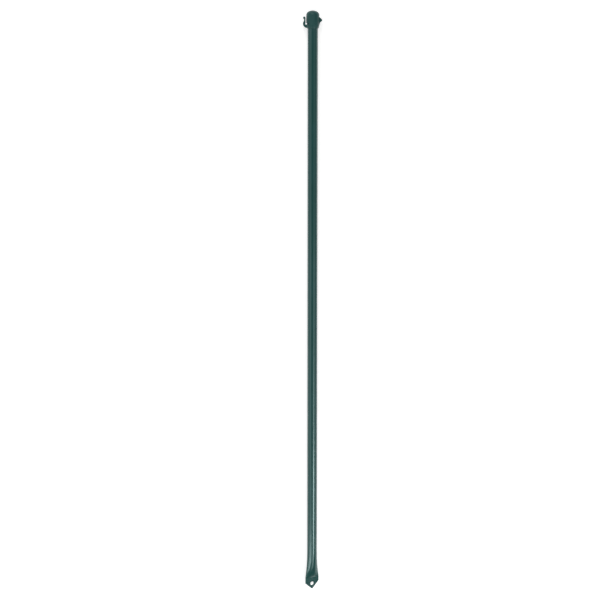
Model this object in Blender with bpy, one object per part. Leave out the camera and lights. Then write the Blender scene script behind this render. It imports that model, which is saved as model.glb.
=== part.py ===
"""Round steel fence post with a pressed, pointed and punched lower end, and a
moulded cap with a wire clip and a peg over its upper end.

The post lies as it comes to rest on level ground: on the edge of its cap and on
its tube just above the pressed end. Its axis runs along Y, the cap towards +Y.
Both pieces are modelled along a straight axis and hang on one empty, which
carries the small slope. Lengths are in metres. In the functions, x is across the
post, y is along it from the nose of the point, and z is up.
"""

import math

import bmesh
import bpy
from mathutils import Matrix, Vector

# The whole post
TOTAL_LENGTH = 1.500

# Steel tube, with its coating
TUBE_DIAMETER = 0.0257
TUBE_WALL = 0.0010

# Pressed lower end, from the nose of the point upwards
POINT_HALF_ANGLE = math.radians(45)
POINT_SKEW = math.radians(3)
POINT_NOSE_RADIUS = 0.0030
BLADE_LENGTH = 0.0122
PRESS_LENGTH = 0.0870
PRESS_LEAD = 1.45
CROWN_LAG = 1.8
PRESS_RINGS = 20
PRESS_SPACING = 1.4
BLADE_ROLL = math.radians(27.5)
HOLE_DIAMETER = 0.0100
HOLE_ABOVE_NOSE = 0.0140

# Moulded cap
CAP_HEIGHT = 0.0440
CAP_WALL = 0.0032
CAP_DRAFT = 0.0002
CROWN_HEIGHT = 0.0108
CROWN_THICKNESS = 0.0030
RIM_THICKNESS = 0.0009
RIM_TAPER_LENGTH = 0.0085
RIM_TAPER_POWER = 1.3
STOP_BELOW_TOP = 0.0140
STOP_WIDTH = 0.0015
FIT_GAP = 0.0003

# Wire clip on the cap's left side, with heights above the cap's rim
CLIP_WIDTH = 0.0080
CLIP_FOOT = 0.0016
CLIP_SLOT = 0.0016
CLIP_ARM = 0.0037
CLIP_BELLY = 0.0026
CLIP_WAIST_HEIGHT = 0.0218
CLIP_BEAD_RADIUS = 0.0030
CLIP_BEAD_HEIGHT = 0.0262
WIRE_SEAT_RADIUS = 0.0022
WIRE_SEAT_HEIGHT = 0.0115

# Window in the cap's wall beside the wire seat
WINDOW_WIDTH = 0.0042
WINDOW_HEIGHT = 0.0032
WINDOW_FROM_SEAT = 0.0048

# Peg on the cap's right side, with heights above the cap's rim
PEG_WIDTH = 0.0070
PEG_BEAD_RADIUS = 0.0030
PEG_BEAD_HEIGHT = 0.0205
PEG_REACH = 0.0070
PEG_TOP = 0.0280
PEG_NECK_HEIGHT = 0.0146
PEG_NECK_REACH = 0.0017
PEG_GUSSET_FOOT = 0.0090

# Rounding of the clip's and the peg's edges
FITTING_EDGE = 0.0005
ROOT_IN_WALL = 0.0006

# How finely round forms are divided
FACETS = 56
FOLD_PARTS = 3
NOSE_STEPS = 6
HOLE_STEPS = 40
CROWN_STEPS = 10
TAPER_STEPS = 5
HOLLOW_STEPS = 6
BELLY_STEPS = 12
CLIP_BEAD_STEPS = 12
PEG_BEAD_STEPS = 8
SEAT_STEPS = 24
EDGE_STEPS = 2

# Points closer than this are one, and edges sharper than this stay sharp
MERGE_DISTANCE = 1e-6
SHARP_ANGLE = math.radians(30)

# Colours, as linear RGB, and roughnesses
COATING_COLOUR = (0.020, 0.068, 0.066, 1.0)
PLASTIC_COLOUR = (0.024, 0.074, 0.070, 1.0)
COATING_ROUGHNESS = 0.25
PLASTIC_ROUGHNESS = 0.45

# Sizes that follow from the ones above
TUBE_RADIUS = TUBE_DIAMETER / 2
MIDDLE_RADIUS = TUBE_RADIUS - TUBE_WALL / 2
BORE_RADIUS = TUBE_RADIUS + FIT_GAP
RIM_RADIUS = BORE_RADIUS + RIM_THICKNESS
CAP_RADIUS = BORE_RADIUS + CAP_WALL
SHOULDER_RADIUS = CAP_RADIUS - CAP_DRAFT
STOP_RADIUS = BORE_RADIUS - STOP_WIDTH
RIM_Y = TOTAL_LENGTH - CAP_HEIGHT
SHOULDER_Y = TOTAL_LENGTH - CROWN_HEIGHT
TAPER_Y = RIM_Y + RIM_TAPER_LENGTH
STOP_Y = TOTAL_LENGTH - STOP_BELOW_TOP
TUBE_TOP_Y = STOP_Y - FIT_GAP
FOLD_RADIUS = TUBE_WALL / 2
BLADE_HALF_WIDTH = math.pi / 2 * (MIDDLE_RADIUS - FOLD_RADIUS) + FOLD_RADIUS + TUBE_WALL / 2
APEX_Y = POINT_NOSE_RADIUS * (1 - 1 / math.sin(POINT_HALF_ANGLE))
CORNER_Y = APEX_Y + BLADE_HALF_WIDTH / math.tan(POINT_HALF_ANGLE)
BLADE_TOP_Y = CORNER_Y + BLADE_LENGTH
PRESS_TOP_Y = BLADE_TOP_Y + PRESS_LENGTH
ROOT_RADIUS = BORE_RADIUS + ROOT_IN_WALL
REST_SLOPE = math.atan2(CAP_RADIUS - TUBE_RADIUS, TAPER_Y - PRESS_TOP_Y)


def clear_scene():
    for item in list(bpy.data.objects):
        bpy.data.objects.remove(item, do_unlink=True)


def surface(name, colour, roughness):
    """A plain coloured finish."""
    material = bpy.data.materials.new(name)
    material.use_nodes = True
    shader = material.node_tree.nodes["Principled BSDF"]
    shader.inputs["Base Color"].default_value = colour
    shader.inputs["Roughness"].default_value = roughness
    shader.inputs["Metallic"].default_value = 0.0
    return material


def object_from(name, form):
    """Turns a bmesh into an object, with its faces pointing out."""
    bmesh.ops.recalc_face_normals(form, faces=form.faces)
    mesh = bpy.data.meshes.new(name)
    form.to_mesh(mesh)
    form.free()
    item = bpy.data.objects.new(name, mesh)
    bpy.context.scene.collection.objects.link(item)
    return item


def combined(item, steps, material):
    """Cuts or joins other forms into a piece, then removes them and shades the result.

    steps are pairs of a Boolean operation and the form that it uses.
    """
    for operation, form in steps:
        modifier = item.modifiers.new(form.name, "BOOLEAN")
        modifier.operation = operation
        modifier.solver = "EXACT"
        modifier.object = form
    bpy.context.view_layer.update()
    graph = bpy.context.evaluated_depsgraph_get()
    mesh = bpy.data.meshes.new_from_object(item.evaluated_get(graph))
    item.modifiers.clear()
    item.data = mesh
    for _, form in steps:
        bpy.data.objects.remove(form, do_unlink=True)
    mesh.name = item.name
    mesh.shade_smooth()
    mesh.set_sharp_from_angle(angle=SHARP_ANGLE)
    mesh.materials.clear()
    mesh.materials.append(material)
    return item


def arc(centre, radius, start, end, steps, height=None):
    """Points on an arc, or on an ellipse if height gives its second half axis."""
    tall = radius if height is None else height
    points = []
    for step in range(steps + 1):
        turn = math.radians(start + (end - start) * step / steps)
        points.append((centre[0] + radius * math.cos(turn), centre[1] + tall * math.sin(turn)))
    return points


def extruded(name, outline, depth, edge=0.0):
    """A flat outline in x and y, made into a plate that is centred on z = 0."""
    form = bmesh.new()
    corners = [form.verts.new((x, y, -depth / 2)) for x, y in outline]
    face = form.faces.new(corners)
    grown = bmesh.ops.extrude_face_region(form, geom=[face])
    top = [v for v in grown["geom"] if isinstance(v, bmesh.types.BMVert)]
    bmesh.ops.translate(form, verts=top, vec=(0, 0, depth))
    if edge:
        rims = [e for e in form.edges if abs(e.verts[0].co.z - e.verts[1].co.z) < depth / 2]
        bmesh.ops.bevel(form, geom=rims, offset=edge, segments=EDGE_STEPS, profile=0.5, affect="EDGES")
    return object_from(name, form)


def revolved(name, profile):
    """Turns a profile of (radius, y) points, which starts and ends on the axis, about Y."""
    form = bmesh.new()
    first_turn = Matrix.Rotation(math.pi / FACETS, 3, "Y")
    rows = [form.verts.new(first_turn @ Vector((radius, y, 0))) for radius, y in profile]
    edges = [form.edges.new(pair) for pair in zip(rows, rows[1:])]
    bmesh.ops.spin(
        form,
        geom=rows + edges,
        cent=(0, 0, 0),
        axis=(0, 1, 0),
        angle=2 * math.pi,
        steps=FACETS,
    )
    bmesh.ops.remove_doubles(form, verts=form.verts, dist=MERGE_DISTANCE)
    return object_from(name, form)


def quadrant_turns():
    """Angles round a quarter of the tube, closer together where the fold will be."""
    fold_turn = math.pi / 2 * FOLD_RADIUS / MIDDLE_RADIUS
    clear_of_fold = fold_turn * 1.2
    facet = 2 * math.pi / FACETS
    turns = [fold_turn * part / FOLD_PARTS for part in range(FOLD_PARTS + 1)]
    turns += [facet * step for step in range(1, FACETS // 4) if facet * step > clear_of_fold]
    return turns


def crown_arc(curvature, length):
    """How far across and down an arc of a length leads from the top of a section."""
    bend = curvature * length
    if bend == 0:
        return length, 0.0
    return math.sin(bend) / curvature, (1 - math.cos(bend)) / curvature


def pressed_point(turn, press, offset):
    """Where a point at an angle of the first quadrant lies once the tube is pressed.

    The middle line of the wall keeps its length: two folds of a shrinking radius are
    joined by two crowns, which stay rounder than the folds for a while and end up
    flat. offset is out of or into the wall.
    """
    quarter = MIDDLE_RADIUS * math.pi / 2
    fold = MIDDLE_RADIUS + (FOLD_RADIUS - MIDDLE_RADIUS) * press
    curvature = (1 - press**CROWN_LAG) / MIDDLE_RADIUS
    crown = (quarter / fold - math.pi / 2) / (1 / fold - curvature) if press else 0.0
    shoulder = curvature * crown
    across, down = crown_arc(curvature, crown)
    from_top = quarter - MIDDLE_RADIUS * turn
    if from_top < crown:
        bend = curvature * from_top
        x, z = crown_arc(curvature, from_top)
        top = fold * math.cos(shoulder) + down
        return x + offset * math.sin(bend), top - z + offset * math.cos(bend)
    bend = shoulder + (from_top - crown) / fold
    fold_x = across - fold * math.sin(shoulder)
    return fold_x + (fold + offset) * math.sin(bend), (fold + offset) * math.cos(bend)


def pressed_section(press, offset):
    """One closed section, anticlockwise from +x, by mirroring a quadrant."""
    turns = quadrant_turns()
    first = [pressed_point(turn, press, offset) for turn in turns]
    top = pressed_point(math.pi / 2, press, offset)
    second = [(-x, z) for x, z in reversed(first)]
    upper = first + [top] + second
    lower = [(-x, -z) for x, z in upper[1:-1]]
    return upper + lower


def ring(form, press, offset, y):
    return [form.verts.new((x, y, z)) for x, z in pressed_section(press, offset)]


def bridge(form, lower, upper):
    count = len(lower)
    for index in range(count):
        after = (index + 1) % count
        form.faces.new((lower[index], lower[after], upper[after], upper[index]))


def press_stations():
    """(y, press) pairs from the crease at the blade's top to where the tube is round again."""
    stations = []
    for step in range(PRESS_RINGS + 1):
        share = (step / PRESS_RINGS) ** PRESS_SPACING
        stations.append((BLADE_TOP_Y + PRESS_LENGTH * share, (1 - share) ** PRESS_LEAD))
    return stations


def turned_about_nose(point):
    x, y = point[0], point[1] - POINT_NOSE_RADIUS
    cosine, sine = math.cos(POINT_SKEW), math.sin(POINT_SKEW)
    return x * cosine - y * sine, x * sine + y * cosine + POINT_NOSE_RADIUS


def pointed_outline():
    """A wide arrowhead: everything above the two cuts and the round nose between them.

    The cuts are a little askew: they are turned together about the centre of the nose.
    """
    turn = math.degrees(POINT_HALF_ANGLE)
    nose = arc((0, POINT_NOSE_RADIUS), POINT_NOSE_RADIUS, 180 + turn, 360 - turn, NOSE_STEPS)
    spread = TOTAL_LENGTH / 4
    shoulder_y = APEX_Y + spread / math.tan(POINT_HALF_ANGLE)
    top_y = TOTAL_LENGTH + spread
    outline = nose + [(spread, shoulder_y), (spread, top_y), (-spread, top_y), (-spread, shoulder_y)]
    return [turned_about_nose(point) for point in outline]


def make_tube(material):
    """The tube: an outer and an inner skin, joined at the open top and in the closed end."""
    outer, inner = TUBE_WALL / 2, -TUBE_WALL / 2
    form = bmesh.new()
    stations = press_stations()

    skin = [ring(form, 1, outer, APEX_Y - BLADE_LENGTH)]
    skin += [ring(form, press, outer, y) for y, press in stations]
    skin.append(ring(form, 0, outer, TUBE_TOP_Y))
    form.faces.new(skin[0])
    for lower, upper in zip(skin, skin[1:]):
        bridge(form, lower, upper)

    lining = [ring(form, press, inner, y) for y, press in stations]
    lining.append(ring(form, 0, inner, TUBE_TOP_Y))
    for lower, upper in zip(lining, lining[1:]):
        bridge(form, lower, upper)
    bmesh.ops.remove_doubles(form, verts=lining[0], dist=MERGE_DISTANCE)

    bridge(form, skin[-1], lining[-1])
    tube = object_from("post_tube", form)

    point = extruded("point_outline", pointed_outline(), 8 * TUBE_DIAMETER)
    hole_outline = arc((0, HOLE_ABOVE_NOSE), HOLE_DIAMETER / 2, 0, 360, HOLE_STEPS)[:-1]
    hole = extruded("punched_hole", hole_outline, 2 * TUBE_DIAMETER)
    return combined(tube, (("INTERSECT", point), ("DIFFERENCE", hole)), material)


def cap_profile():
    """(radius, y) points of the cap's half section, from the crown round to the hollow."""
    crown = arc((0, SHOULDER_Y), SHOULDER_RADIUS, 90, 0, CROWN_STEPS, CROWN_HEIGHT)
    taper = []
    for step in range(TAPER_STEPS + 1):
        share = step / TAPER_STEPS
        radius = CAP_RADIUS - (CAP_RADIUS - RIM_RADIUS) * share**RIM_TAPER_POWER
        taper.append((radius, TAPER_Y - RIM_TAPER_LENGTH * share))
    bore = [(BORE_RADIUS, RIM_Y), (BORE_RADIUS, STOP_Y)]
    hollow_height = STOP_BELOW_TOP - CROWN_THICKNESS
    hollow = arc((0, STOP_Y), STOP_RADIUS, 0, 90, HOLLOW_STEPS, hollow_height)
    crown[0] = (0, TOTAL_LENGTH)
    hollow[-1] = (0, TOTAL_LENGTH - CROWN_THICKNESS)
    return crown + taper + bore + hollow


def clip_outline():
    """The wire clip in x and y: a belly that holds the wire, a waist and a bead on its arm."""
    arm_inner = CAP_RADIUS + CLIP_SLOT
    bead_x = arm_inner + CLIP_BEAD_RADIUS
    belly_middle = (CLIP_FOOT + CLIP_WAIST_HEIGHT) / 2
    belly_reach = arm_inner + CLIP_ARM + CLIP_BELLY - ROOT_RADIUS
    waist_x = arm_inner + CLIP_ARM
    belly_end = math.degrees(math.acos((waist_x - ROOT_RADIUS) / belly_reach))
    belly_start = -84
    belly_height = belly_middle - CLIP_FOOT
    belly_centre = (ROOT_RADIUS, belly_middle)
    belly = arc(belly_centre, belly_reach, belly_start, belly_end, BELLY_STEPS, belly_height)
    bead_foot = CLIP_BEAD_HEIGHT - CLIP_BEAD_RADIUS
    waist = [(waist_x, CLIP_WAIST_HEIGHT), (waist_x, bead_foot)]
    bead_start = -60
    bead = arc((bead_x, CLIP_BEAD_HEIGHT), CLIP_BEAD_RADIUS, bead_start, 180, CLIP_BEAD_STEPS)
    slot = [(arm_inner, WIRE_SEAT_HEIGHT), (ROOT_RADIUS, WIRE_SEAT_HEIGHT)]
    root = [(ROOT_RADIUS, CLIP_FOOT)]
    return [(-x, RIM_Y + y) for x, y in belly + waist + bead + slot + root]


def peg_outline():
    """The peg in x and y: a wedge with a round end and a gusset below it."""
    bead_x = CAP_RADIUS + PEG_REACH - PEG_BEAD_RADIUS
    start, end = -60, 50
    bead = arc((bead_x, PEG_BEAD_HEIGHT), PEG_BEAD_RADIUS, start, end, PEG_BEAD_STEPS)
    top = [(CAP_RADIUS, PEG_TOP), (ROOT_RADIUS, PEG_TOP)]
    foot = [(ROOT_RADIUS, PEG_GUSSET_FOOT), (CAP_RADIUS, PEG_GUSSET_FOOT)]
    neck = [(CAP_RADIUS + PEG_NECK_REACH, PEG_NECK_HEIGHT)]
    return [(x, RIM_Y + y) for x, y in bead + top + foot + neck]


def box_outline(centre, width, height):
    x, y = centre
    across, along = width / 2, height / 2
    left, right, low, high = x - across, x + across, y - along, y + along
    return [(left, low), (right, low), (right, high), (left, high)]


def make_cap(material):
    """The cap: a turned shell with the clip and the peg grown on, and the seat and window cut."""
    cap = revolved("end_cap", cap_profile())
    clip = extruded("wire_clip", clip_outline(), CLIP_WIDTH, FITTING_EDGE)
    peg = extruded("peg", peg_outline(), PEG_WIDTH, FITTING_EDGE)
    seat_y = RIM_Y + WIRE_SEAT_HEIGHT
    seat_outline = arc((-CAP_RADIUS, seat_y), WIRE_SEAT_RADIUS, 0, 360, SEAT_STEPS)[:-1]
    seat = extruded("wire_seat", seat_outline, 2 * CAP_RADIUS)
    window_outline = box_outline((WINDOW_FROM_SEAT - CAP_RADIUS, seat_y), WINDOW_WIDTH, WINDOW_HEIGHT)
    window = extruded("window", window_outline, CAP_RADIUS)
    window.location.z = CAP_RADIUS
    steps = (("UNION", clip), ("UNION", peg), ("DIFFERENCE", seat), ("DIFFERENCE", window))
    return combined(cap, steps, material)


def lay_down(items):
    """Hangs the pieces on an empty that lays the post on the ground, z = 0, as it rests."""
    rest = bpy.data.objects.new("post_at_rest", None)
    bpy.context.scene.collection.objects.link(rest)
    height = TUBE_RADIUS * math.cos(REST_SLOPE) - PRESS_TOP_Y * math.sin(REST_SLOPE)
    rest.location = (0, -TOTAL_LENGTH / 2, height)
    rest.rotation_euler = (REST_SLOPE, 0, 0)
    for item in items:
        item.parent = rest


def main():
    clear_scene()
    tube = make_tube(surface("green_coated_steel", COATING_COLOUR, COATING_ROUGHNESS))
    cap = make_cap(surface("green_moulded_plastic", PLASTIC_COLOUR, PLASTIC_ROUGHNESS))
    tube.rotation_euler.y = BLADE_ROLL
    lay_down((tube, cap))


main()
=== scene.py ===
import math

import bmesh
import bpy
from mathutils import Matrix, Vector


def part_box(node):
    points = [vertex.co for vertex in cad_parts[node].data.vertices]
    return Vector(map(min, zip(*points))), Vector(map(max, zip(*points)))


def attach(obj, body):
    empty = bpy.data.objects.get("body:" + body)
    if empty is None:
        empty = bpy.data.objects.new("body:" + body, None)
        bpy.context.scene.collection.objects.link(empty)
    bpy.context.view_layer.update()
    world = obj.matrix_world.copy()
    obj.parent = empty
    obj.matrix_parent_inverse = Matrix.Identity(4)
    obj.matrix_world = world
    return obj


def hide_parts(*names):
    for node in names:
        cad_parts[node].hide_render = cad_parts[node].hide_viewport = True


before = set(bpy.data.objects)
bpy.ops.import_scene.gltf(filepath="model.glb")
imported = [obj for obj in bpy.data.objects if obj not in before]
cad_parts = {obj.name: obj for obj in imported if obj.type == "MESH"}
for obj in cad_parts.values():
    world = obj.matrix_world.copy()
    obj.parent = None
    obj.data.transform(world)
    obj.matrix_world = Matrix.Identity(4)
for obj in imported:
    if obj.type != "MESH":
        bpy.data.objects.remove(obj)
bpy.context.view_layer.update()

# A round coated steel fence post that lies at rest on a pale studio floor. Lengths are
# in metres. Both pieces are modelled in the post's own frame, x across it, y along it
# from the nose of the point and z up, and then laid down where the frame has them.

tube_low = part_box("post_tube")[0]
cap_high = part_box("end_cap")[1]

# The whole post
TOTAL_LENGTH = round(cap_high.y - tube_low.y, 3)
TUBE_SIDES = 200
FOLD_CROWDING = 1.5
CAP_SIDES = 144
CROWN_STEPS = 24
TAPER_STEPS = 10
HOLLOW_STEPS = 12

# Steel tube, with its coating
TUBE_DIAMETER = 0.0257
TUBE_WALL = 0.0010

# Pressed lower end, from the nose of the point upwards
POINT_HALF_ANGLE = math.radians(45)
POINT_SKEW = math.radians(3)
POINT_NOSE_RADIUS = 0.0030
NOSE_SEGMENTS = 12
BLADE_LENGTH = 0.0122
PRESS_LENGTH = 0.0870
PRESS_LEAD = 1.45
CROWN_LAG = 1.8
PRESS_RINGS = 40
PRESS_SPACING = 1.4
BLADE_ROLL = math.radians(27.5)
HOLE_DIAMETER = 0.0100
HOLE_ABOVE_NOSE = 0.0140
HOLE_SIDES = 72
COATED_EDGE = 0.00025
COATED_EDGE_STEPS = 3

# Moulded cap
CAP_HEIGHT = 0.0440
CAP_WALL = 0.0032
CAP_DRAFT = 0.0002
CROWN_HEIGHT = 0.0108
CROWN_THICKNESS = 0.0030
RIM_THICKNESS = 0.0009
RIM_EDGE = 0.0003
RIM_EDGE_STEPS = 4
RIM_EDGE_START = 20
RIM_TAPER_LENGTH = 0.0085
RIM_TAPER_POWER = 1.3
STOP_BELOW_TOP = 0.0140
STOP_WIDTH = 0.0015
FIT_GAP = 0.0003

# Wire clip on the cap's left side, with heights above the cap's rim
CLIP_WIDTH = 0.0080
CLIP_FOOT = 0.0016
CLIP_SLOT = 0.0016
CLIP_ARM = 0.0037
CLIP_BELLY = 0.0026
CLIP_WAIST_HEIGHT = 0.0218
CLIP_BEAD_RADIUS = 0.0030
CLIP_BEAD_HEIGHT = 0.0262
WIRE_SEAT_RADIUS = 0.0022
WIRE_SEAT_HEIGHT = 0.0115

# Window in the cap's wall beside the wire seat
WINDOW_WIDTH = 0.0042
WINDOW_HEIGHT = 0.0032
WINDOW_FROM_SEAT = 0.0048
WINDOW_EDGE = 0.0002
WINDOW_EDGE_STEPS = 3

# Peg on the cap's right side, with heights above the cap's rim
PEG_WIDTH = 0.0070
PEG_BEAD_RADIUS = 0.0030
PEG_BEAD_HEIGHT = 0.0205
PEG_REACH = 0.0070
PEG_TOP = 0.0280
PEG_NECK_HEIGHT = 0.0146
PEG_NECK_REACH = 0.0017
PEG_GUSSET_FOOT = 0.0090

# Rounding, roots and round forms of the clip and the peg
FITTING_EDGE = 0.0005
FITTING_EDGE_STEPS = 4
ROOT_IN_WALL = 0.0006
ROUND_SIDES = 64
BELLY_SIDES = 96

# Sizes that follow from the ones above
TUBE_RADIUS = TUBE_DIAMETER / 2
FOLD_RADIUS = TUBE_WALL / 2
MIDDLE_RADIUS = TUBE_RADIUS - FOLD_RADIUS
OUTER_SKIN = TUBE_WALL / 2
INNER_SKIN = -TUBE_WALL / 2
BORE_RADIUS = TUBE_RADIUS + FIT_GAP
RIM_RADIUS = BORE_RADIUS + RIM_THICKNESS
CAP_RADIUS = BORE_RADIUS + CAP_WALL
SHOULDER_RADIUS = CAP_RADIUS - CAP_DRAFT
STOP_RADIUS = BORE_RADIUS - STOP_WIDTH
ROOT_RADIUS = BORE_RADIUS + ROOT_IN_WALL
NECK_RADIUS = FITTING_EDGE / 4
RIM_Y = TOTAL_LENGTH - CAP_HEIGHT
SHOULDER_Y = TOTAL_LENGTH - CROWN_HEIGHT
TAPER_Y = RIM_Y + RIM_TAPER_LENGTH
STOP_Y = TOTAL_LENGTH - STOP_BELOW_TOP
TUBE_TOP_Y = STOP_Y - FIT_GAP
BLADE_HALF_WIDTH = math.pi / 2 * (MIDDLE_RADIUS - FOLD_RADIUS) + TUBE_WALL
APEX_Y = POINT_NOSE_RADIUS * (1 - 1 / math.sin(POINT_HALF_ANGLE))
BLADE_TOP_Y = APEX_Y + BLADE_HALF_WIDTH / math.tan(POINT_HALF_ANGLE) + BLADE_LENGTH
PRESS_TOP_Y = BLADE_TOP_Y + PRESS_LENGTH

# How the post lies: on its cap's edge and on its tube just above the pressed end
REST_SLOPE = math.atan2(CAP_RADIUS - TUBE_RADIUS, TAPER_Y - PRESS_TOP_Y)
REST_HEIGHT = TUBE_RADIUS * math.cos(REST_SLOPE) - PRESS_TOP_Y * math.sin(REST_SLOPE)
LAID = Matrix.Translation((0, tube_low.y, REST_HEIGHT)) @ Matrix.Rotation(REST_SLOPE, 4, "X")

# Distance within which two places count as one, and within which an edge is at the tip
SAME = 1e-6
NEAR_APEX = TUBE_WALL / 10

# Angles below which neighbouring faces are one flat, or above which an edge is sharp
FLAT_ANGLE = math.radians(0.5)
CUT_ANGLE = math.radians(50)
WINDOW_ANGLE = math.radians(40)
TUBE_SMOOTH_ANGLE = math.radians(40)
CAP_SMOOTH_ANGLE = math.radians(35)

# A face of a flat piece is part of its outline if its normal has less than this along z
WALL_TILT = 0.5

# The photograph's camera, in the post's own frame, with its lens in millimetres
CAMERA_PLACE = (0, 1.352, 3.40)
CAMERA_AIM = (-0.031573, 0.775386, 0)
CAMERA_LENS = 80.93
CAMERA_SENSOR = 36.0

# Finishes: the tint of their reflections, and the span of the patches' values that shows
REFLECTION_TINT = (0.77, 1.0, 1.0, 1.0)
TONE_SPAN = (0.35, 0.65)
GLOSS_SPAN = (0.3, 0.7)

# Studio, with greys and glows as shares of white, and heights as shares of straight up
FLOOR_SIZE = 80
FLOOR_GAP = 0.0001
FLOOR_GREY = 0.65
FLOOR_GLOW = 0.62
FLOOR_FAR_GLOW = 1.0
FLOOR_NEAR = 1.0
FLOOR_FAR = 3.0
HORIZON_GREY = 0.20
OVERHEAD_GREY = 0.12
HORIZON_HEIGHT = 0.2
OVERHEAD_HEIGHT = 0.8
PANEL_DISTANCE = 2.0
LAMP_POWER = 4.0


def enter_edit():
    bpy.ops.object.mode_set(mode="EDIT")


def leave_edit():
    bpy.ops.object.mode_set(mode="OBJECT")


def deselect_objects():
    bpy.ops.object.select_all(action="DESELECT")


def pick_vertices(test):
    """Selects the vertices whose place passes a test, with the edges and faces between them."""
    bpy.ops.mesh.select_mode(type="VERT")
    bpy.ops.mesh.select_all(action="DESELECT")
    mesh = bpy.context.edit_object.data
    form = bmesh.from_edit_mesh(mesh)
    for vertex in form.verts:
        vertex.select_set(test(vertex.co))
    form.select_flush(True)
    bmesh.update_edit_mesh(mesh)


def pick_edges(test):
    """Selects the edges that pass a test."""
    bpy.ops.mesh.select_mode(type="EDGE")
    bpy.ops.mesh.select_all(action="DESELECT")
    mesh = bpy.context.edit_object.data
    form = bmesh.from_edit_mesh(mesh)
    form.normal_update()
    for edge in [edge for edge in form.edges if test(edge)]:
        edge.select_set(True)
    bmesh.update_edit_mesh(mesh)


def new_piece(name):
    """Names the primitive that was just added, and puts its object at the origin."""
    piece = bpy.context.active_object
    piece.name = name
    piece.data.name = name
    bpy.ops.object.transform_apply(location=True, rotation=True, scale=True)
    return piece


def choose(piece):
    deselect_objects()
    piece.select_set(True)
    bpy.context.view_layer.objects.active = piece


def combine(piece, tool, operation):
    """Cuts a tool from a piece or joins it to the piece, and removes the tool."""
    choose(piece)
    modifier = piece.modifiers.new(tool.name, "BOOLEAN")
    modifier.operation = operation
    modifier.solver = "EXACT"
    modifier.object = tool
    bpy.ops.object.modifier_apply(modifier=modifier.name)
    bpy.data.objects.remove(tool, do_unlink=True)


def clean(piece):
    """Merges doubles, closes up slivers and points all faces outwards."""
    choose(piece)
    enter_edit()
    bpy.ops.mesh.select_all(action="SELECT")
    bpy.ops.mesh.remove_doubles(threshold=SAME)
    bpy.ops.mesh.dissolve_degenerate(threshold=SAME)
    bpy.ops.mesh.normals_make_consistent(inside=False)
    leave_edit()


def shade(piece, angle):
    """Smooth shading up to an angle, with large faces kept flat beside small bevels."""
    choose(piece)
    bpy.ops.object.shade_smooth_by_angle(angle=angle)
    weighted = piece.modifiers.new("weighted_normals", "WEIGHTED_NORMAL")
    weighted.keep_sharp = True
    bpy.ops.object.modifier_apply(modifier=weighted.name)


def lay_down(piece, roll=0.0):
    """Turns a piece about the post's axis and lays it where the frame has it."""
    choose(piece)
    piece.matrix_world = LAID @ Matrix.Rotation(roll, 4, "Y")
    bpy.ops.object.transform_apply(location=True, rotation=True, scale=True)


def add_ring(name, sides, radius, y, fill="NOTHING"):
    """A ring about the post's axis, turned half a side so that no corner is at its top."""
    deselect_objects()
    bpy.ops.mesh.primitive_circle_add(
        vertices=sides,
        radius=radius,
        fill_type=fill,
        location=(0, y, 0),
        rotation=(math.pi / 2, math.pi / sides, 0),
    )
    return new_piece(name)


def extrude_along(step):
    bpy.ops.mesh.extrude_region_move(TRANSFORM_OT_translate={"value": (0, step, 0)})


def scale_about(centre, factors):
    bpy.ops.transform.resize(value=factors, center_override=centre)


# Steel tube


def press_stations():
    """(y, press) pairs from where the tube is round down to the crease at the blade's top."""
    stations = []
    for step in range(PRESS_RINGS - 1, -1, -1):
        share = (step / PRESS_RINGS) ** PRESS_SPACING
        stations.append((BLADE_TOP_Y + PRESS_LENGTH * share, (1 - share) ** PRESS_LEAD))
    return stations


def crown_arc(curvature, length):
    """How far across and down an arc of a length leads from the top of a section."""
    bend = curvature * length
    if bend == 0:
        return length, 0.0
    return math.sin(bend) / curvature, (1 - math.cos(bend)) / curvature


def pressed_point(turn, press, out):
    """Where a point of the round tube, at an angle from its top, lies once it is pressed.

    The middle line of the wall keeps its length: two folds of a shrinking radius are
    joined by two crowns, which stay rounder than the folds for a while and end up flat.
    The point lies out from that line, or inside it where out is negative.
    """
    fold = MIDDLE_RADIUS + (FOLD_RADIUS - MIDDLE_RADIUS) * press
    curvature = (1 - press**CROWN_LAG) / MIDDLE_RADIUS
    quarter = MIDDLE_RADIUS * math.pi / 2
    crown = (quarter / fold - math.pi / 2) / (1 / fold - curvature) if press else 0.0
    shoulder = curvature * crown
    across, down = crown_arc(curvature, crown)
    from_top = MIDDLE_RADIUS * turn
    if from_top < crown:
        bend = curvature * from_top
        x, z = crown_arc(curvature, from_top)
        top = fold * math.cos(shoulder) + down
        return x + out * math.sin(bend), top - z + out * math.cos(bend)
    bend = shoulder + (from_top - crown) / fold
    fold_x = across - fold * math.sin(shoulder)
    return fold_x + (fold + out) * math.sin(bend), (fold + out) * math.cos(bend)


def crowded_turns():
    """Angles from the tube's top, in order, that crowd at its sides, where it is folded."""
    turns = []
    quarter_sides = TUBE_SIDES // 4
    for step in range(quarter_sides):
        from_side = ((step + 0.5) / quarter_sides) ** FOLD_CROWDING
        turn = math.pi / 2 * (1 - from_side)
        turns += [turn, -turn, math.pi - turn, turn - math.pi]
    return sorted(turns)


def press_ring(press, turns, out):
    """Presses the selected ring, whose vertices have these angles round the tube.

    Operators can't bend a ring and keep its length, so its vertices are moved one by one.
    """
    mesh = bpy.context.edit_object.data
    form = bmesh.from_edit_mesh(mesh)
    ring = sorted((vertex for vertex in form.verts if vertex.select), key=around_axis)
    for vertex, turn in zip(ring, turns, strict=True):
        x, z = pressed_point(min(abs(turn), math.pi - abs(turn)), press, out)
        vertex.co.x = math.copysign(x, turn)
        vertex.co.z = z if abs(turn) < math.pi / 2 else -z
    bmesh.update_edit_mesh(mesh)


def around_axis(vertex):
    """A vertex's angle from the tube's top, positive towards +x."""
    return math.atan2(vertex.co.x, vertex.co.z)


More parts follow.
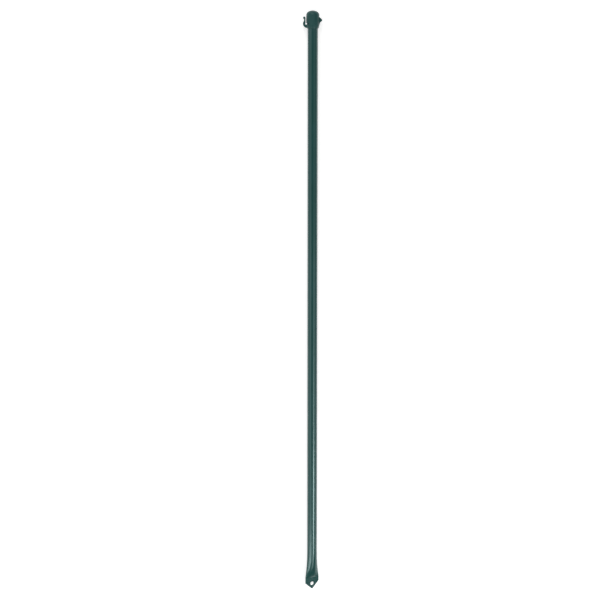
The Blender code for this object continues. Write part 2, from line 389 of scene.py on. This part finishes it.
def press_down(turns, out):
    """Extrudes the selected ring down the press, from round to flat."""
    y = PRESS_TOP_Y
    for next_y, press in press_stations():
        extrude_along(next_y - y)
        press_ring(press, turns, out)
        y = next_y


def bore_tube(turns):
    """Gives the tube its wall and its bore, which is pressed shut at the blade's top."""
    pick_vertices(lambda place: place.y > TUBE_TOP_Y - SAME)
    bpy.ops.mesh.edge_face_add()
    bpy.ops.mesh.inset(thickness=TUBE_WALL)
    press_ring(0, turns, INNER_SKIN)
    extrude_along(PRESS_TOP_Y - TUBE_TOP_Y)
    press_down(turns, INNER_SKIN)
    bpy.ops.mesh.delete(type="ONLY_FACE")
    pick_vertices(lambda place: abs(place.y - BLADE_TOP_Y) < SAME and abs(place.z) < SAME)
    bpy.ops.mesh.remove_doubles(threshold=SAME)


def point_blade():
    """Cuts the pressed end to its point, a little askew, and rounds the nose."""
    sine, cosine = math.sin(POINT_HALF_ANGLE), math.cos(POINT_HALF_ANGLE)
    askew = Matrix.Rotation(POINT_SKEW, 3, "Z")
    nose = Vector((0, POINT_NOSE_RADIUS, 0))
    apex = nose + askew @ Vector((0, -POINT_NOSE_RADIUS / sine, 0))
    for side in (-1, 1):
        bpy.ops.mesh.select_all(action="SELECT")
        bpy.ops.mesh.bisect(
            plane_co=apex,
            plane_no=askew @ Vector((side * cosine, -sine, 0)),
            use_fill=True,
            clear_outer=True,
            threshold=SAME,
        )
    flat_to = BLADE_TOP_Y + SAME
    pick_vertices(lambda place: place.y < flat_to and abs(abs(place.z) - TUBE_WALL) < SAME)
    bpy.ops.mesh.dissolve_limited(angle_limit=FLAT_ANGLE)
    pick_edges(lambda edge: all((v.co.xy - apex.xy).length < NEAR_APEX for v in edge.verts))
    bpy.ops.mesh.bevel(
        offset=POINT_NOSE_RADIUS / math.tan(POINT_HALF_ANGLE),
        segments=NOSE_SEGMENTS,
        affect="EDGES",
        clamp_overlap=False,
    )


def punch_hole(tube):
    deselect_objects()
    bpy.ops.mesh.primitive_cylinder_add(
        vertices=HOLE_SIDES,
        radius=HOLE_DIAMETER / 2,
        depth=TUBE_DIAMETER,
        location=(0, HOLE_ABOVE_NOSE, 0),
    )
    combine(tube, new_piece("punch"), "DIFFERENCE")


def round_cut_edges():
    """Rounds the edges of the point and the hole, as the coating flows round them."""
    cut_to = BLADE_TOP_Y - SAME
    pick_edges(lambda edge: edge.verts[0].co.y < cut_to and edge.calc_face_angle(0) > CUT_ANGLE)
    bpy.ops.mesh.bevel(
        offset=COATED_EDGE,
        segments=COATED_EDGE_STEPS,
        affect="EDGES",
        clamp_overlap=False,
    )


def make_tube():
    """The tube, from its open top down to the pressed, pointed and punched end."""
    tube = add_ring("coated_post_tube", TUBE_SIDES, TUBE_RADIUS, TUBE_TOP_Y)
    turns = crowded_turns()
    enter_edit()
    bpy.ops.mesh.select_all(action="SELECT")
    press_ring(0, turns, OUTER_SKIN)
    extrude_along(PRESS_TOP_Y - TUBE_TOP_Y)
    press_down(turns, OUTER_SKIN)
    extrude_along(APEX_Y - BLADE_LENGTH - BLADE_TOP_Y)
    bpy.ops.mesh.edge_face_add()
    bore_tube(turns)
    point_blade()
    leave_edit()
    punch_hole(tube)
    clean(tube)
    enter_edit()
    round_cut_edges()
    leave_edit()
    clean(tube)
    lay_down(tube, BLADE_ROLL)
    shade(tube, TUBE_SMOOTH_ANGLE)
    return tube


# Moulded cap


def rim_edge(middle, start, end):
    """(radius, y) points round an edge of the rim, from one angle to another in degrees."""
    points = []
    for step in range(RIM_EDGE_STEPS + 1):
        turn = math.radians(start + (end - start) * step / RIM_EDGE_STEPS)
        points.append((middle + RIM_EDGE * math.cos(turn), RIM_Y + RIM_EDGE * (1 - math.sin(turn))))
    return points


def cap_profile():
    """(radius, y) points of the cap's section, from the crown round to the hollow's top."""
    profile = []
    for step in range(1, CROWN_STEPS + 1):
        turn = math.pi / 2 * step / CROWN_STEPS
        profile.append((SHOULDER_RADIUS * math.sin(turn), SHOULDER_Y + CROWN_HEIGHT * math.cos(turn)))
    for step in range(TAPER_STEPS):
        share = step / TAPER_STEPS
        radius = CAP_RADIUS - (CAP_RADIUS - RIM_RADIUS) * share**RIM_TAPER_POWER
        profile.append((radius, TAPER_Y - RIM_TAPER_LENGTH * share))
    profile += rim_edge(RIM_RADIUS - RIM_EDGE, RIM_EDGE_START, 90)
    profile += rim_edge(BORE_RADIUS + RIM_EDGE, 90, 180)
    profile.append((BORE_RADIUS, STOP_Y))
    hollow_height = STOP_BELOW_TOP - CROWN_THICKNESS
    for step in range(HOLLOW_STEPS):
        turn = math.pi / 2 * step / HOLLOW_STEPS
        profile.append((STOP_RADIUS * math.cos(turn), STOP_Y + hollow_height * math.sin(turn)))
    return profile


def turn_shell():
    """The cap's shell: a ring is extruded and scaled round the whole section."""
    profile = cap_profile()
    radius, y = profile[0]
    shell = add_ring("moulded_end_cap", CAP_SIDES, radius, y, fill="TRIFAN")
    enter_edit()
    pick_vertices(lambda place: place.xz.length < SAME)
    bpy.ops.transform.translate(value=(0, TOTAL_LENGTH - y, 0))
    pick_vertices(lambda place: place.xz.length > SAME)
    for next_radius, next_y in profile[1:]:
        extrude_along(next_y - y)
        factor = next_radius / radius
        scale_about((0, next_y, 0), (factor, 1, factor))
        radius, y = next_radius, next_y
    extrude_along(TOTAL_LENGTH - CROWN_THICKNESS - y)
    bpy.ops.mesh.merge(type="CENTER")
    leave_edit()
    clean(shell)
    return shell


def add_block(name, low, high):
    """A block between two corners."""
    deselect_objects()
    low, high = Vector(low), Vector(high)
    bpy.ops.mesh.primitive_cube_add(size=1, location=(low + high) / 2, scale=high - low)
    return new_piece(name)


def add_round(name, centre, half_axes, depth, sides=ROUND_SIDES):
    """A round or oval block with its axis along z."""
    deselect_objects()
    bpy.ops.mesh.primitive_cylinder_add(
        vertices=sides,
        radius=1,
        depth=depth,
        location=(centre[0], centre[1], 0),
        scale=(half_axes[0], half_axes[1], 1),
    )
    return new_piece(name)


def round_sides(piece, depth):
    """Rounds the outline of a flat piece on both of its sides."""
    clean(piece)
    enter_edit()
    bpy.ops.mesh.select_all(action="SELECT")
    bpy.ops.mesh.dissolve_limited(angle_limit=FLAT_ANGLE)

    def on_outline(edge):
        flat = all(abs(abs(v.co.z) - depth / 2) < SAME for v in edge.verts)
        walls = [face for face in edge.link_faces if abs(face.normal.z) < WALL_TILT]
        return flat and len(walls) == 1

    pick_edges(on_outline)
    bpy.ops.mesh.bevel(
        offset=FITTING_EDGE,
        segments=FITTING_EDGE_STEPS,
        affect="EDGES",
        clamp_overlap=False,
    )
    leave_edit()
    clean(piece)


def make_clip():
    """The wire clip: a belly that holds the wire, and an arm with a bead on its end."""
    arm_inner = -(CAP_RADIUS + CLIP_SLOT)
    arm_outer = arm_inner - CLIP_ARM
    seat_y, bead_y = RIM_Y + WIRE_SEAT_HEIGHT, RIM_Y + CLIP_BEAD_HEIGHT
    side = CLIP_WIDTH / 2
    belly_centre = (-ROOT_RADIUS, RIM_Y + (CLIP_FOOT + CLIP_WAIST_HEIGHT) / 2)
    belly_axes = (CLIP_BELLY - arm_outer - ROOT_RADIUS, (CLIP_WAIST_HEIGHT - CLIP_FOOT) / 2)
    clip = add_round("wire_clip", belly_centre, belly_axes, CLIP_WIDTH, BELLY_SIDES)
    arm = add_block("clip_arm", (arm_outer, seat_y, -side), (arm_inner, bead_y, side))
    combine(clip, arm, "UNION")
    bead_axes = (CLIP_BEAD_RADIUS, CLIP_BEAD_RADIUS)
    bead = add_round("clip_bead", (arm_inner - CLIP_BEAD_RADIUS, bead_y), bead_axes, CLIP_WIDTH)
    combine(clip, bead, "UNION")
    slot = add_block("clip_slot", (arm_inner, seat_y, -CLIP_WIDTH), (0, TOTAL_LENGTH, CLIP_WIDTH))
    combine(clip, slot, "DIFFERENCE")
    inside = (CAP_RADIUS, TOTAL_LENGTH, CLIP_WIDTH)
    wall = add_block("cap_inside", (-ROOT_RADIUS, TUBE_RADIUS, -CLIP_WIDTH), inside)
    combine(clip, wall, "DIFFERENCE")
    round_sides(clip, CLIP_WIDTH)
    return clip


def hull_of(name, centre, radius, corners, depth):
    """A block whose outline is drawn tight round a circle and some corners."""
    hull = add_round(name, centre, (radius, radius), depth)
    enter_edit()
    form = bmesh.from_edit_mesh(hull.data)
    for x, y in corners:
        for z in (-depth / 2, depth / 2):
            form.verts.new((x, y, z))
    bmesh.update_edit_mesh(hull.data)
    bpy.ops.mesh.select_all(action="SELECT")
    bpy.ops.mesh.convex_hull()
    leave_edit()
    return hull


def make_peg():
    """The peg: a wedge with a round end, and a gusset that carries it from below."""
    bead = (CAP_RADIUS + PEG_REACH - PEG_BEAD_RADIUS, RIM_Y + PEG_BEAD_HEIGHT)
    neck = (CAP_RADIUS + PEG_NECK_REACH, RIM_Y + PEG_NECK_HEIGHT)
    top_y, foot_y = RIM_Y + PEG_TOP, RIM_Y + PEG_GUSSET_FOOT
    upper = [(ROOT_RADIUS, top_y), (CAP_RADIUS, top_y), (ROOT_RADIUS, neck[1]), neck]
    lower = [(ROOT_RADIUS, neck[1]), (ROOT_RADIUS, foot_y), (CAP_RADIUS, foot_y)]
    peg = hull_of("peg", bead, PEG_BEAD_RADIUS, upper, PEG_WIDTH)
    gusset = hull_of("peg_gusset", neck, NECK_RADIUS, lower, PEG_WIDTH)
    combine(peg, gusset, "UNION")
    round_sides(peg, PEG_WIDTH)
    return peg


def round_window(middle, reach):
    """Rounds the window's outline where it breaks through the outside of the cap."""

    def on_outline(edge):
        for vertex in edge.verts:
            away = vertex.co - middle
            inside = abs(away.x) < reach.x + SAME and abs(away.y) < reach.y + SAME
            if not inside or vertex.co.xz.length < CAP_RADIUS - WINDOW_EDGE:
                return False
        return vertex.co.z > 0 and edge.calc_face_angle(0) > WINDOW_ANGLE

    enter_edit()
    pick_edges(on_outline)
    bpy.ops.mesh.bevel(
        offset=WINDOW_EDGE,
        segments=WINDOW_EDGE_STEPS,
        affect="EDGES",
        clamp_overlap=False,
    )
    leave_edit()


def make_cap():
    """The cap: its shell with the clip and the peg grown on, and the seat and window cut."""
    cap = turn_shell()
    combine(cap, make_clip(), "UNION")
    combine(cap, make_peg(), "UNION")
    seat_y = RIM_Y + WIRE_SEAT_HEIGHT
    seat_axes = (WIRE_SEAT_RADIUS, WIRE_SEAT_RADIUS)
    seat = add_round("wire_seat", (-CAP_RADIUS, seat_y), seat_axes, 2 * CAP_RADIUS)
    combine(cap, seat, "DIFFERENCE")
    middle = Vector((WINDOW_FROM_SEAT - CAP_RADIUS, seat_y, CAP_RADIUS))
    reach = Vector((WINDOW_WIDTH, WINDOW_HEIGHT, CAP_RADIUS)) / 2
    combine(cap, add_block("window", middle - reach, middle + reach), "DIFFERENCE")
    clean(cap)
    round_window(middle, reach)
    clean(cap)
    lay_down(cap)
    shade(cap, CAP_SMOOTH_ANGLE)
    return cap


# Finishes


def node(tree, kind, place, **settings):
    """Adds a node. Settings are its own properties, or else its inputs by their names."""
    made = tree.nodes.new(kind)
    made.location = place
    for name, value in settings.items():
        if name in made.bl_rna.properties:
            setattr(made, name, value)
        else:
            made.inputs[name.replace("_", " ")].default_value = value
    return made


def make_surface_group():
    """Fine grain and long waves for a bump, and broad soft patches for tone and gloss.

    The sizes are given as waves in a metre. The height is in units of the grain's depth.
    """
    tree = bpy.data.node_groups.new("grain_waves_and_patches", "ShaderNodeTree")
    place = "NodeSocketVector"
    number = "NodeSocketFloat"
    tree.interface.new_socket("Place", in_out="INPUT", socket_type=place)
    for name in ("Grain", "Waves", "Wave Height", "Patches"):
        tree.interface.new_socket(name, in_out="INPUT", socket_type=number)
    for name in ("Height", "Patch"):
        tree.interface.new_socket(name, in_out="OUTPUT", socket_type=number)
    start = node(tree, "NodeGroupInput", (-800, 0))
    end = node(tree, "NodeGroupOutput", (400, 0))
    grain = node(tree, "ShaderNodeTexNoise", (-500, 300), Detail=2.0, Roughness=0.5)
    waves = node(tree, "ShaderNodeTexNoise", (-500, 0), Detail=1.0, Roughness=0.4)
    patches = node(tree, "ShaderNodeTexNoise", (-500, -300), Detail=4.0, Roughness=0.6)
    for texture, size in ((grain, "Grain"), (waves, "Waves"), (patches, "Patches")):
        tree.links.new(start.outputs["Place"], texture.inputs["Vector"])
        tree.links.new(start.outputs[size], texture.inputs["Scale"])
    tall = node(tree, "ShaderNodeMath", (-200, 0), operation="MULTIPLY")
    tree.links.new(waves.outputs["Fac"], tall.inputs[0])
    tree.links.new(start.outputs["Wave Height"], tall.inputs[1])
    height = node(tree, "ShaderNodeMath", (100, 200), operation="ADD")
    tree.links.new(grain.outputs["Fac"], height.inputs[0])
    tree.links.new(tall.outputs[0], height.inputs[1])
    tree.links.new(height.outputs[0], end.inputs["Height"])
    tree.links.new(patches.outputs["Fac"], end.inputs["Patch"])
    return tree


def make_finish(name, surface, tones, gloss, specular, depth, **sizes):
    """A finish in two tones of its colour and two roughnesses, over a fine grained surface.

    depth is the grain's height in metres, and sizes are the inputs of the surface group.
    """
    material = bpy.data.materials.new(name)
    material.use_nodes = True
    tree = material.node_tree
    shader = tree.nodes["Principled BSDF"]
    place = node(tree, "ShaderNodeTexCoord", (-1200, 0))
    grained = node(tree, "ShaderNodeGroup", (-900, 0), node_tree=surface)
    for size, value in sizes.items():
        grained.inputs[size.replace("_", " ")].default_value = value
    tone = node(tree, "ShaderNodeValToRGB", (-600, 300))
    for stop, colour, where in zip(tone.color_ramp.elements, tones, TONE_SPAN):
        stop.color = colour
        stop.position = where
    sheen = node(tree, "ShaderNodeMapRange", (-600, 0))
    sheen.inputs["From Min"].default_value, sheen.inputs["From Max"].default_value = GLOSS_SPAN
    sheen.inputs["To Min"].default_value, sheen.inputs["To Max"].default_value = gloss
    bump = node(tree, "ShaderNodeBump", (-600, -300), Strength=1.0, Distance=depth)
    tree.links.new(place.outputs["Object"], grained.inputs["Place"])
    tree.links.new(grained.outputs["Patch"], tone.inputs["Fac"])
    tree.links.new(grained.outputs["Patch"], sheen.inputs["Value"])
    tree.links.new(grained.outputs["Height"], bump.inputs["Height"])
    tree.links.new(tone.outputs["Color"], shader.inputs["Base Color"])
    tree.links.new(sheen.outputs["Result"], shader.inputs["Roughness"])
    tree.links.new(bump.outputs["Normal"], shader.inputs["Normal"])
    shader.inputs["Specular IOR Level"].default_value = specular
    shader.inputs["Specular Tint"].default_value = REFLECTION_TINT
    return material


def make_floor():
    """A white floor, lit a little from itself where it is seen, that keeps the shadow.

    Its own light grows away from the post, where the lamps no longer reach.
    """
    deselect_objects()
    bpy.ops.mesh.primitive_plane_add(size=FLOOR_SIZE, location=(0, 0, tube_low.z - FLOOR_GAP))
    floor = new_piece("studio_floor")
    material = bpy.data.materials.new("white_floor")
    material.use_nodes = True
    tree = material.node_tree
    shader = tree.nodes["Principled BSDF"]
    shader.inputs["Base Color"].default_value = (FLOOR_GREY, FLOOR_GREY, FLOOR_GREY, 1)
    shader.inputs["Roughness"].default_value = 1.0
    shader.inputs["Specular IOR Level"].default_value = 0.0
    shader.inputs["Emission Color"].default_value = (1, 1, 1, 1)
    rays = node(tree, "ShaderNodeLightPath", (-800, -200))
    either = node(tree, "ShaderNodeMath", (-600, -200), operation="MAXIMUM")
    seen = node(tree, "ShaderNodeMath", (-400, -200), operation="MAXIMUM")
    glow = node(tree, "ShaderNodeMath", (-200, -200), operation="MULTIPLY")
    place = node(tree, "ShaderNodeTexCoord", (-800, -500))
    away = node(tree, "ShaderNodeVectorMath", (-600, -500), operation="LENGTH")
    level = node(tree, "ShaderNodeMapRange", (-400, -500), From_Min=FLOOR_NEAR, From_Max=FLOOR_FAR)
    level.inputs["To Min"].default_value = FLOOR_GLOW
    level.inputs["To Max"].default_value = FLOOR_FAR_GLOW
    tree.links.new(place.outputs["Object"], away.inputs[0])
    tree.links.new(away.outputs["Value"], level.inputs["Value"])
    tree.links.new(level.outputs["Result"], glow.inputs[1])
    tree.links.new(rays.outputs["Is Camera Ray"], either.inputs[0])
    tree.links.new(rays.outputs["Is Glossy Ray"], either.inputs[1])
    tree.links.new(either.outputs[0], seen.inputs[0])
    tree.links.new(rays.outputs["Is Transmission Ray"], seen.inputs[1])
    tree.links.new(seen.outputs[0], glow.inputs[0])
    tree.links.new(glow.outputs[0], shader.inputs["Emission Strength"])
    floor.data.materials.append(material)


def make_world():
    """A dim studio that is a little paler near the horizon."""
    world = bpy.data.worlds.new("studio_room")
    world.use_nodes = True
    tree = world.node_tree
    background = tree.nodes["Background"]
    place = node(tree, "ShaderNodeTexCoord", (-900, 0))
    parts = node(tree, "ShaderNodeSeparateXYZ", (-700, 0))
    height = node(tree, "ShaderNodeMapRange", (-500, 0))
    height.inputs["From Min"].default_value = HORIZON_HEIGHT
    height.inputs["From Max"].default_value = OVERHEAD_HEIGHT
    height.inputs["To Min"].default_value = HORIZON_GREY
    height.inputs["To Max"].default_value = OVERHEAD_GREY
    tree.links.new(place.outputs["Generated"], parts.inputs[0])
    tree.links.new(parts.outputs["Z"], height.inputs["Value"])
    tree.links.new(height.outputs["Result"], background.inputs["Strength"])
    background.inputs["Color"].default_value = (1, 1, 1, 1)
    bpy.context.scene.world = world


def add_panel(name, place, aim, size, brightness):
    """A soft light panel. A colour of brightness 1 straight in front of it looks white."""
    lamp = bpy.data.lights.new(name, "AREA")
    lamp.shape = "RECTANGLE"
    lamp.size, lamp.size_y = size
    lamp.energy = brightness * LAMP_POWER * size[0] * size[1]
    panel = bpy.data.objects.new(name, lamp)
    bpy.context.scene.collection.objects.link(panel)
    panel.matrix_world = looking(place, aim)
    panel.visible_camera = False


def looking(place, aim):
    """Where a camera or a lamp stands that looks at a point, with +Y up in its view."""
    back = (Vector(place) - Vector(aim)).normalized()
    right = Vector((0, 1, 0)).cross(back).normalized()
    turned = Matrix((right, back.cross(right), back)).transposed().to_4x4()
    return Matrix.Translation(place) @ turned


def side_panel(name, turn, half_span, ends, brightness):
    """A panel that faces the post's axis from PANEL_DISTANCE, turned aside from overhead."""
    middle = (ends[0] + ends[1]) / 2
    turn = math.radians(turn)
    place = (PANEL_DISTANCE * math.sin(turn), middle, PANEL_DISTANCE * math.cos(turn))
    width = 2 * PANEL_DISTANCE * math.tan(math.radians(half_span))
    add_panel(name, place, (0, middle, 0), (width, ends[1] - ends[0]), brightness)


def make_lights():
    """Soft panels beside and beyond the post, whose reflections run along it."""
    side_panel("right_bright", 37.5, 12.5, (-1.45, -0.95), 4.6)
    side_panel("right_beyond", 31.0, 13.0, (-2.15, -1.45), 1.5)
    side_panel("right_near", 35.0, 13.0, (-1.65, -0.55), 0.9)
    side_panel("right_middle", 38.0, 20.0, (-1.20, -0.10), 0.45)
    side_panel("right_long", 40.0, 22.0, (-1.30, 1.10), 0.22)
    side_panel("left_bright", -35.0, 25.0, (-1.85, -1.38), 3.1)
    side_panel("left_near", -40.0, 24.0, (-1.60, -0.95), 0.6)
    side_panel("left_middle", -42.0, 20.0, (-0.95, 0.00), 0.25)
    side_panel("left_long", -50.0, 26.0, (-1.00, 1.10), 0.40)
    side_panel("left_of_cap", -48.0, 18.0, (0.84, 1.24), 0.5)
    side_panel("overhead_near", 0.0, 15.0, (-2.00, -1.10), 0.25)
    add_panel("beyond_cap", (-0.5, 3.2, 1.7), (0, 0.6, 0), (1.8, 1.0), 2.6)
    add_panel("over_cap", (0, 2.0, 2.8), (0, 0.5, 0), (3.0, 1.2), 2.2)


def make_camera():
    """The photograph's camera, above the post and a little beyond its middle."""
    lens = bpy.data.cameras.new("photo_camera")
    lens.lens = CAMERA_LENS
    lens.sensor_width = CAMERA_SENSOR
    camera = bpy.data.objects.new("photo_camera", lens)
    bpy.context.scene.collection.objects.link(camera)
    camera.matrix_world = looking(LAID @ Vector(CAMERA_PLACE), LAID @ Vector(CAMERA_AIM))
    bpy.context.scene.camera = camera


def dress(piece, material, stands_for):
    piece.data.materials.clear()
    piece.data.materials.append(material)
    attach(piece, "root")
    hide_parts(stands_for)


SURFACE = make_surface_group()
COATING = make_finish(
    "dark_green_coating",
    SURFACE,
    tones=((0.008, 0.058, 0.051, 1), (0.010, 0.062, 0.059, 1)),
    gloss=(0.15, 0.21),
    specular=0.8,
    depth=0.000004,
    Grain=700.0,
    Waves=25.0,
    Wave_Height=8.0,
    Patches=14.0,
)
MOULDED = make_finish(
    "dark_green_moulded_plastic",
    SURFACE,
    tones=((0.012, 0.062, 0.058, 1), (0.016, 0.070, 0.066, 1)),
    gloss=(0.32, 0.42),
    specular=0.4,
    depth=0.000010,
    Grain=2400.0,
    Waves=90.0,
    Wave_Height=4.0,
    Patches=40.0,
)

dress(make_tube(), COATING, "post_tube")
dress(make_cap(), MOULDED, "end_cap")
make_floor()
make_world()
make_lights()
make_camera()
bpy.context.scene.view_settings.view_transform = "Standard"
